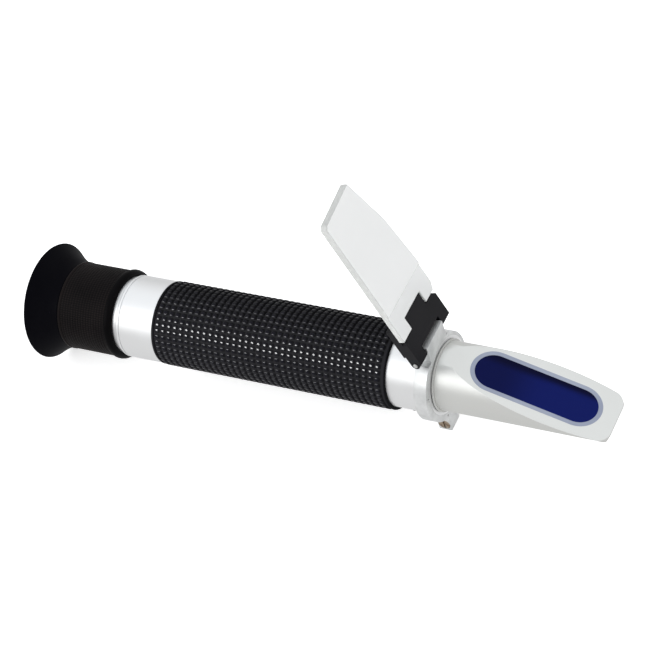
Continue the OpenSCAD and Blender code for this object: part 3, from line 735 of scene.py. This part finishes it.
def prism_glass(name):
    """Blue-backed prism under a polished skin with faint wipe marks. The blue carries a painted
    shadow: deep navy along the far edge and towards the rear end, lightening to blue away from them."""
    material, nodes, links = start_material(name)

    painted_shadow_frame = nodes.new("NodeFrame")
    painted_shadow_frame.label = "painted shadow on the blue"
    skin_frame = nodes.new("NodeFrame")
    skin_frame.label = "polished skin"

    place = nodes.new("ShaderNodeTexCoord")
    place.label = "place on the part"
    slope = nodes.new("ShaderNodeSeparateXYZ")
    slope.label = "distance across"
    slope.parent = painted_shadow_frame
    across = nodes.new("ShaderNodeMapRange")
    across.label = "out of the far edge's shadow"
    across.parent = painted_shadow_frame
    along = nodes.new("ShaderNodeMapRange")
    along.label = "out of the rear end's shadow"
    along.parent = painted_shadow_frame
    # The two painted shadow masks multiplied: darkest where both fall.
    depth = nodes.new("ShaderNodeMath")
    depth.label = "both shadows"
    depth.parent = painted_shadow_frame
    blue = nodes.new("ShaderNodeValToRGB")
    blue.label = "navy to blue"
    blue.parent = painted_shadow_frame
    wipes = nodes.new("ShaderNodeTexNoise")
    wipes.label = "wipe marks"
    wipes.parent = skin_frame
    gloss = nodes.new("ShaderNodeMapRange")
    gloss.label = "roughness of wipes"
    gloss.parent = skin_frame
    shader = nodes.new("ShaderNodeBsdfPrincipled")
    shader.label = "blue glass"
    output = nodes.new("ShaderNodeOutputMaterial")
    output.label = "surface"

    for node, x, y in (
        (place, -1300, 0), (slope, -940, 200), (across, -780, 320), (along, -780, 60),
        (depth, -620, 200), (blue, -450, 200), (wipes, -900, -200), (gloss, -600, -200), (shader, -150, 100),
        (output, 150, 100),
    ):
        node.location = (x, y)

    # Painted shadow: the blue is darkest along the far edge of the glass and towards its rear end.
    glass_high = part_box("main_prism")[1]
    across.interpolation_type = "SMOOTHSTEP"
    across.inputs["From Min"].default_value = glass_high[1]
    across.inputs["From Max"].default_value = glass_high[1] - 4.0 * MM
    along.interpolation_type = "SMOOTHSTEP"
    along.inputs["From Min"].default_value = glass_high[0] - 30.0 * MM
    along.inputs["From Max"].default_value = glass_high[0] - 12.0 * MM
    along.inputs["To Min"].default_value = 0.45
    depth.operation = "MULTIPLY"
    blue.color_ramp.interpolation = "EASE"
    blue.color_ramp.elements[0].position = 0.0
    blue.color_ramp.elements[0].color = (0.0018, 0.0024, 0.022, 1)
    blue.color_ramp.elements[1].position = 1.0
    blue.color_ramp.elements[1].color = (0.0046, 0.0100, 0.105, 1)
    wipes.inputs["Scale"].default_value = 180.0
    wipes.inputs["Detail"].default_value = 4.0
    gloss.inputs["To Min"].default_value = 0.03
    gloss.inputs["To Max"].default_value = 0.10
    shader.inputs["Specular IOR Level"].default_value = 0.04

    links.new(place.outputs["Object"], slope.inputs["Vector"])
    links.new(slope.outputs["Y"], across.inputs["Value"])
    links.new(slope.outputs["X"], along.inputs["Value"])
    links.new(across.outputs["Result"], depth.inputs[0])
    links.new(along.outputs["Result"], depth.inputs[1])
    links.new(depth.outputs["Value"], blue.inputs["Fac"])
    links.new(place.outputs["Object"], wipes.inputs["Vector"])
    links.new(wipes.outputs["Fac"], gloss.inputs["Value"])
    links.new(blue.outputs["Color"], shader.inputs["Base Color"])
    links.new(gloss.outputs["Result"], shader.inputs["Roughness"])
    links.new(shader.outputs["BSDF"], output.inputs["Surface"])
    return material


tube_metal = satin_aluminium("satin aluminium tube", (0.90, 0.905, 0.91), 0.46, 5200.0, 0.25)
head_metal = satin_aluminium("satin aluminium head", (0.77, 0.775, 0.755), 0.50, 3600.0, 0.20)
bracket_metal = cast_metal("cast bracket metal", (0.79, 0.80, 0.80), (0.60, 0.61, 0.61), 0.42, 0.85)
steel = small_metal("screw steel", (0.62, 0.62, 0.61), (0.42, 0.41, 0.39), 0.25)
brass = small_metal("screw brass", (0.44, 0.37, 0.29), (0.23, 0.16, 0.11), 0.22)
cup_rubber = black_moulding(
    "eyecup rubber", (0.0014, 0.0013, 0.0026), (0.0022, 0.0021, 0.0034), 0.50, 0.030, 2400.0, 0.2
)
# Hollow and top colours: the darker hollows are painted shade, the lighter tops partly wear and partly
# painted highlight.
grip_rubber = raised_black(
    "grip rubber", (0.0008, 0.0008, 0.0014), (0.0014, 0.0013, 0.0028), 0.85, 0.17, 0.12
)
ring_black = raised_black(
    "anodised black ring", (0.0012, 0.0010, 0.0014), (0.0150, 0.0112, 0.0108), 0.42, 0.30, 0.05
)
inner_black = black_moulding(
    "matt black inside", (0.012, 0.012, 0.013), (0.020, 0.020, 0.021), 0.62, 0.30, 1500.0, 0.2
)
carrier_plastic = black_moulding(
    "carrier plastic", (0.0036, 0.0034, 0.0050), (0.0060, 0.0056, 0.0076), 0.36, 0.15, 1300.0, 0.25
)
plate_acrylic = pale_moulding("frosted acrylic", (0.83, 0.832, 0.825), (0.81, 0.812, 0.805), 0.38, 0.10)
clear_acrylic = pale_moulding("clear acrylic edges", (0.96, 0.97, 0.95), (0.92, 0.93, 0.91), 0.12, 0.50)
thin_acrylic = pale_moulding("half-clear acrylic strip", (0.93, 0.935, 0.93), (0.90, 0.905, 0.90), 0.22, 0.30)
washer_plastic = pale_moulding("ivory washer", (0.48, 0.48, 0.465), (0.43, 0.43, 0.41), 0.42, 0.0)
border_sealant = pale_moulding("grey-blue border", (0.34, 0.375, 0.47), (0.27, 0.30, 0.40), 0.34, 0.0)
lens_glass = polished_glass("lens glass", (0.93, 0.97, 0.98), 1.0)
blue_glass = prism_glass("blue prism glass")

finish_of = {
    "focus_collar": inner_black, "eyepiece_barrel": inner_black, "lens_spacer": inner_black,
    "lens_retainer": inner_black,
    "key_screw": steel, "body_tube": tube_metal, "reticle": lens_glass,
    "reticle_retainer": inner_black, "light_stops": inner_black, "neck_tube": tube_metal,
    "objective_frame": inner_black, "guide_pins": steel, "bimetal_strip": brass,
    "strip_screws": steel, "objective_cell": inner_black,
    "calibration_screw": steel, "screw_clip": steel, "calibration_spring": steel,
    "main_prism": blue_glass, "prism_seal": border_sealant,
}
for node, finish in finish_of.items():
    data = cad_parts[node].data
    data.materials.clear()
    data.materials.append(finish)


def mark_raised(piece, raised):
    """Stores how far each point stands in the pattern, 0 to 1, as the `raised` attribute, which
    also places the painted shade in the hollows and the painted highlight on the tops.
    """
    layer = piece.data.attributes.new("raised", "FLOAT", "POINT")
    layer.data.foreach_set("value", raised.ravel().astype(np.float32))


# ---------------------------------------------------------------- eyecup

def make_eyecup():
    """Trumpet-shaped rubber cup. Outside, radius = neck + flare x (1 - t)^1.5 as t runs from the
    rim to the neck; inside, radius = throat + opening x t^(1/1.5) from the seat to the rim. The
    rim is rounded and the neck ends in a small bead."""
    neck_r, throat_r, seat_r = 14.6 * MM, 10.6 * MM, 12.9 * MM
    back = CUP_BACK
    t = np.linspace(0, 1, 44)
    outer = np.stack([back + (0.5 + 9.3 * t) * MM, neck_r + (CUP_R - neck_r) * (1 - t) ** 1.5], axis=1)
    bead_t = np.linspace(0, math.pi, 9)
    bead = np.stack(
        [back + (9.95 - 0.15 * np.cos(bead_t)) * MM, neck_r + 0.12 * MM * np.sin(bead_t)], axis=1
    )
    seat = np.array([
        [10.3 * MM, neck_r], [10.3 * MM, seat_r], [5.6 * MM, seat_r], [5.6 * MM, throat_r],
        [5.1 * MM, 10.45 * MM], [4.6 * MM, throat_r],
    ])
    seat[:, 0] += back
    rim_wall = 1.35 * MM
    inner_r = throat_r + (CUP_R - rim_wall - throat_r) * t[1:] ** (1 / 1.5)
    inner = np.stack([back + 4.5 * MM * (1 - t[1:]), inner_r], axis=1)
    lip_t = np.linspace(0, 1, 9)[1:-1]
    lip = np.stack(
        [back + 0.02 * MM + 0.28 * MM * (2 * lip_t - 1) ** 4, CUP_R - rim_wall + 1.32 * MM * lip_t], axis=1
    )
    outline = np.concatenate([outer, bead, seat, inner, lip])
    points, faces = turned_points(outline[:, 0], outline[:, 1], 160)
    return add_piece("eyecup_flare", points, faces, "focus_ring", cup_rubber, ["eyecup"])


# ---------------------------------------------------------------- focus ring

def make_focus_ring():
    """Turned ring with a fine square knurl. On the knurled length the radius is
    base + depth x ridge(along) x ridge(around), where ridge is a trapezium wave sampled at its
    four corners; the rest is a plain turned outline with eased corners."""
    back = CUP_BACK
    rows, cols, samples = 17, 120, 4
    knurl_x0, knurl_x1 = 11.25 * MM, 28.65 * MM
    wave = np.array([0.0, 0.75, 1.0, 0.75])
    step = np.array([0.0, 0.28, 0.5, 0.72])
    along = ((np.arange(rows)[:, None] + step[None, :]) / rows).ravel()
    height_along = np.append(np.tile(wave, rows), 0.0)
    along = np.append(along, 1.0)
    height_around = np.tile(wave, cols)
    knurl_root, knurl_height = 14.42 * MM, 0.2 * MM
    knurl_r = knurl_root + knurl_height * np.outer(height_along, height_around)
    knurl_x = back + knurl_x0 + (knurl_x1 - knurl_x0) * along

    front = np.array([
        [28.75, 14.4], [28.8, 14.92], [28.92, 15.06], [29.1, 15.1], [29.5, 15.09], [29.85, 15.02],
        [30.15, 14.88], [30.45, 14.66], [30.7, 14.4], [30.9, 14.1], [31.03, 13.75], [31.09, 13.45],
        [31.1, 13.2],
        [31.0, 13.05], [14.0, 13.05], [14.0, 11.9], [12.2, 11.9], [12.2, 10.1], [12.1, 10.05],
        [9.3, 10.05], [9.2, 10.15], [9.2, 11.6], [5.6, 11.6], [5.6, 12.88], [10.3, 12.88],
        [10.32, 14.6], [10.36, 14.72], [10.5, 14.8], [10.85, 14.8], [11.05, 14.72], [11.15, 14.5],
    ]) * MM
    front[:, 0] += back
    stations = np.concatenate([knurl_x, front[:, 0]])
    around = cols * samples
    radii = np.concatenate([knurl_r, np.repeat(front[:, 1:2], around, axis=1)])
    # The raised values also place painted shade in the knurl hollows and painted highlight on the knurl tops.
    raised = np.concatenate([
        0.15 + 0.85 * np.outer(height_along, height_around), np.full((len(front), around), 0.12)
    ])
    # Painted highlight: the lip by the eyecup gets a high value so that it shows lighter and glossier.
    raised[-5:] = 0.75
    points, faces = turned_points(stations, radii, around)
    piece = add_piece(
        "focus_ring_knurled", points, faces, "focus_ring", ring_black, ["focus_ring"]
    )
    mark_raised(piece, raised)
    return piece


# ---------------------------------------------------------------- rubber grip

def make_grip():
    """Rubber sleeve covered with studs. Between the plain ends the radius is
    valley + stud height x bump(along) x bump(around); each bump has seven samples: three in
    the valley and four over the flat-topped stud. The ends are rounded over to the bore."""
    stud_rows = 37
    stud_cols = 42
    step = np.array([0.0, 0.12, 0.22, 0.32, 0.68, 0.78, 0.88])
    bump = np.array([0.0, 0.08, 0.90, 1.0, 1.0, 0.90, 0.08])
    first, last = GRIP_BACK + 1.05 * MM, GRIP_FRONT - 1.45 * MM
    along = np.append(((np.arange(stud_rows)[:, None] + step[None, :]) / stud_rows).ravel(), 1.0)
    lift = np.append(np.tile(bump, stud_rows), 0.0)
    stud_height = 0.62 * MM
    valley = GRIP_R - stud_height
    lift = np.outer(lift, np.tile(bump, stud_cols))
    stud_r = valley + stud_height * lift
    stud_x = first + (last - first) * along
    band = GRIP_R - 0.12 * MM
    ends_back = np.array([
        [0.0, 12.7 * MM], [0.0, band - 0.35 * MM], [0.1 * MM, band - 0.12 * MM], [0.3 * MM, band],
        [0.62 * MM, band], [0.78 * MM, band - 0.1 * MM], [0.9 * MM, valley + 0.05 * MM],
    ])
    ends_front = ends_back[::-1].copy()
    ends_front[:, 0] = -ends_front[:, 0]
    ends_back[:, 0] += GRIP_BACK
    ends_front[:, 0] += GRIP_FRONT
    around = stud_cols * len(step)
    stations = np.concatenate([ends_back[:, 0], stud_x, ends_front[:, 0]])
    radii = np.concatenate([
        np.repeat(ends_back[:, 1:2], around, axis=1), stud_r, np.repeat(ends_front[:, 1:2], around, axis=1)
    ])
    turn = ((np.arange(stud_cols)[:, None] + step[None, :]) * (2 * math.pi / stud_cols)).ravel()
    points, faces = turned_points(stations, radii, around, turn)
    piece = add_piece("grip_studded", points, faces, "barrel", grip_rubber, ["rubber_grip"])
    plain = np.full((len(ends_back), around), 0.55)
    # The raised values put painted shade in the stud valleys and painted highlight on the stud tops.
    mark_raised(piece, np.concatenate([plain, lift, plain]))
    return piece


# ---------------------------------------------------------------- washer

def make_washer():
    """Moulded washer between the clamp ring and the head: an outline with rounded outer edges,
    turned about the barrel axis."""
    low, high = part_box("gasket_ring")
    outer = (high[2] - low[2]) / 2
    undercut = low[0] + 0.18 * MM
    corners = np.array([
        [low[0], 10.5 * MM], [low[0], outer - 0.6 * MM], [undercut, outer - 0.6 * MM], [undercut, outer],
        [high[0], outer], [high[0], 10.5 * MM],
    ])
    outline = eased_outline(corners, 0.2 * MM, 6)
    points, faces = turned_points(outline[:, 0], outline[:, 1], 144)
    return add_piece("head_washer", points, faces, "barrel", washer_plastic, ["gasket_ring"])


def polish_plate_edges(piece):
    """Gives the sawn sides of the cover plate the clear finish and the thin strip by its hinge the
    half-clear one: a face is a side when it turns more than about 11 degrees from the plate's own
    normal, and in the strip when its middle is nearer the hinge than the step in the plate."""
    frosted, clear, half_clear = 0, 1, 2
    side_cosine, strip_reach = 0.98, 21.2 * MM
    mesh = piece.data
    mesh.materials.append(clear_acrylic)
    mesh.materials.append(thin_acrylic)
    count = len(mesh.polygons)
    normals, centres = np.empty(count * 3), np.empty(count * 3)
    mesh.polygons.foreach_get("normal", normals)
    mesh.polygons.foreach_get("center", centres)
    hinge = (np.array(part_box("hinge_pin")[0]) + np.array(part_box("hinge_pin")[1])) / 2
    normal = np.array([0.953, 0.0, 0.304])
    length_way = np.array([-0.304, 0.0, 0.953])
    facing = np.abs(normals.reshape(-1, 3) @ normal) > side_cosine
    reach = (centres.reshape(-1, 3) - hinge) @ length_way
    finish = np.where(reach < strip_reach, half_clear, frosted)
    finish[~facing] = clear
    mesh.polygons.foreach_set("material_index", finish.astype(np.int32))


make_eyecup()
make_focus_ring()
grip = make_grip()
make_washer()

for lens, lens_body in (
    ("eye_lens", "lens_barrel"), ("field_lens", "lens_barrel"), ("objective_lens", "objective"),
):
    smooth_copy(lens, lens + "_polished", lens_body, lens_glass)
broken_edges("ring_bracket", "clamp_ring_cast", "barrel", bracket_metal, 0.28 * MM)
broken_edges("clamp_screw", "clamp_screw_slotted", "barrel", brass, 0.15 * MM)
broken_edges("hinge_pin", "hinge_pin_rounded", "barrel", steel, 0.25 * MM)
broken_edges("hinge_carrier", "carrier_moulded", "cover", carrier_plastic, 0.35 * MM)
plate = broken_edges("daylight_plate", "plate_frosted", "cover", plate_acrylic, 0.45 * MM)
polish_plate_edges(plate)
broken_edges("prism_housing", "prism_head_machined", "barrel", head_metal, 0.35 * MM)


# ---------------------------------------------------------------- studio

def make_floor():
    """Wide pale floor under the instrument."""
    material, nodes, links = start_material("pale studio floor")
    place = nodes.new("ShaderNodeTexCoord")
    place.label = "place on the floor"
    mottle = nodes.new("ShaderNodeTexNoise")
    mottle.label = "paper mottle"
    tint = nodes.new("ShaderNodeValToRGB")
    tint.label = "near white"
    shader = nodes.new("ShaderNodeBsdfDiffuse")
    shader.label = "matt paper"
    glow = nodes.new("ShaderNodeEmission")
    glow.label = "light table under the paper"
    both = nodes.new("ShaderNodeAddShader")
    both.label = "lit from above and below"
    output = nodes.new("ShaderNodeOutputMaterial")
    output.label = "surface"
    for node, x, y in (
        (place, -900, 0), (mottle, -700, 0), (tint, -450, 0), (shader, -150, 0), (glow, -150, -150),
        (both, 50, 0), (output, 250, 0),
    ):
        node.location = (x, y)
    glow.inputs["Strength"].default_value = 0.6
    mottle.inputs["Scale"].default_value = 3.0
    tint.color_ramp.elements[0].color = (0.93, 0.93, 0.93, 1)
    tint.color_ramp.elements[1].color = (0.95, 0.95, 0.95, 1)
    links.new(place.outputs["Object"], mottle.inputs["Vector"])
    links.new(mottle.outputs["Fac"], tint.inputs["Fac"])
    links.new(tint.outputs["Color"], shader.inputs["Color"])
    links.new(shader.outputs["BSDF"], both.inputs[0])
    links.new(glow.outputs["Emission"], both.inputs[1])
    links.new(both.outputs["Shader"], output.inputs["Surface"])

    half = 6.0
    mesh = bpy.data.meshes.new("studio_floor")
    corners = [(-half, -half, 0), (half, -half, 0), (half, half, 0), (-half, half, 0)]
    mesh.from_pydata(corners, [], [(0, 1, 2, 3)])
    mesh.materials.append(material)
    floor = bpy.data.objects.new("studio_floor", mesh)
    bpy.context.scene.collection.objects.link(floor)
    floor.visible_glossy = False


def add_softbox(name, place, aim, width, height, power):
    """Rectangular softbox at `place`, facing `aim`."""
    light = bpy.data.lights.new(name, "AREA")
    light.shape = "RECTANGLE"
    light.size = width
    light.size_y = height
    light.energy = power
    lamp = bpy.data.objects.new(name, light)
    direction = Vector(aim) - Vector(place)
    lamp.matrix_world = Matrix.Translation(place) @ direction.to_track_quat("-Z", "Y").to_matrix().to_4x4()
    bpy.context.scene.collection.objects.link(lamp)
    return lamp


def light_only(lamp, pieces):
    """Lets a lamp shine on the given pieces only."""
    lit = bpy.data.collections.new(lamp.name + " reach")
    for piece in pieces:
        lit.objects.link(piece)
    lamp.light_linking.receiver_collection = lit


def add_world():
    """Soft surroundings: white overhead, greyer towards the horizon."""
    world = bpy.data.worlds.new("studio surroundings")
    world.use_nodes = True
    nodes, links = world.node_tree.nodes, world.node_tree.links
    nodes.clear()
    direction = nodes.new("ShaderNodeTexCoord")
    direction.label = "direction looked in"
    height = nodes.new("ShaderNodeSeparateXYZ")
    height.label = "how high"
    rise = nodes.new("ShaderNodeMapRange")
    rise.label = "from below to above"
    sky = nodes.new("ShaderNodeValToRGB")
    sky.label = "horizon to overhead"
    background = nodes.new("ShaderNodeBackground")
    background.label = "studio air"
    output = nodes.new("ShaderNodeOutputWorld")
    output.label = "surroundings"
    for node, x in (
        (direction, -1100), (height, -900), (rise, -700), (sky, -500), (background, -200), (output, 0),
    ):
        node.location = (x, 0)
    rise.inputs["From Min"].default_value = -1.0
    rise.inputs["From Max"].default_value = 1.0
    sky.color_ramp.interpolation = "EASE"
    sky.color_ramp.elements[0].position = 0.0
    sky.color_ramp.elements[0].color = (0.74, 0.74, 0.74, 1)
    sky.color_ramp.elements[1].position = 1.0
    sky.color_ramp.elements[1].color = (0.74, 0.77, 0.80, 1)
    for position, grey in ((0.38, 0.78), (0.48, 0.54), (0.53, 0.58), (0.66, 0.80)):
        stop = sky.color_ramp.elements.new(position)
        stop.color = (grey, grey, grey, 1)
    links.new(direction.outputs["Generated"], height.inputs["Vector"])
    links.new(height.outputs["Z"], rise.inputs["Value"])
    links.new(rise.outputs["Result"], sky.inputs["Fac"])
    links.new(sky.outputs["Color"], background.inputs["Color"])
    links.new(background.outputs["Background"], output.inputs["Surface"])
    bpy.context.scene.world = world


def add_camera():
    """Camera in front of and above the prism side, looking back along the barrel."""
    right = Vector((0.877063, 0.413562, -0.244391))
    down = Vector((0.163208, -0.735026, -0.658104))
    forward = Vector((-0.451800, 0.537312, -0.712161))
    camera_data = bpy.data.cameras.new("camera")
    camera_data.sensor_fit = "HORIZONTAL"
    camera_data.sensor_width = 36.0
    camera_data.lens = 132.923077
    camera_data.clip_start = 0.01
    camera_data.clip_end = 50.0
    camera = bpy.data.objects.new("camera", camera_data)
    turn = Matrix((right, -down, -forward)).transposed().to_4x4()
    camera.matrix_world = Matrix.Translation((0.347574, -0.405954, AXIS_Z + 0.551910)) @ turn
    bpy.context.scene.collection.objects.link(camera)
    bpy.context.scene.camera = camera


middle = (0.0, 0.0, AXIS_Z)
make_floor()
add_world()
add_softbox("overhead softbox", (0.0, 0.4, 1.4), middle, 2.2, 1.6, 3.6)
add_softbox("left softbox", (-0.60, -0.90, 0.80), middle, 1.1, 0.8, 4.5)
strip = add_softbox("strip light for the grip", (-0.56, -0.85, 0.64), middle, 0.50, 0.30, 48.0)
light_only(strip, [grip])
add_softbox("front fill softbox", (1.3, -0.1, 0.55), middle, 0.9, 0.9, 1.2)
add_camera()
bpy.context.scene.view_settings.view_transform = "Standard"
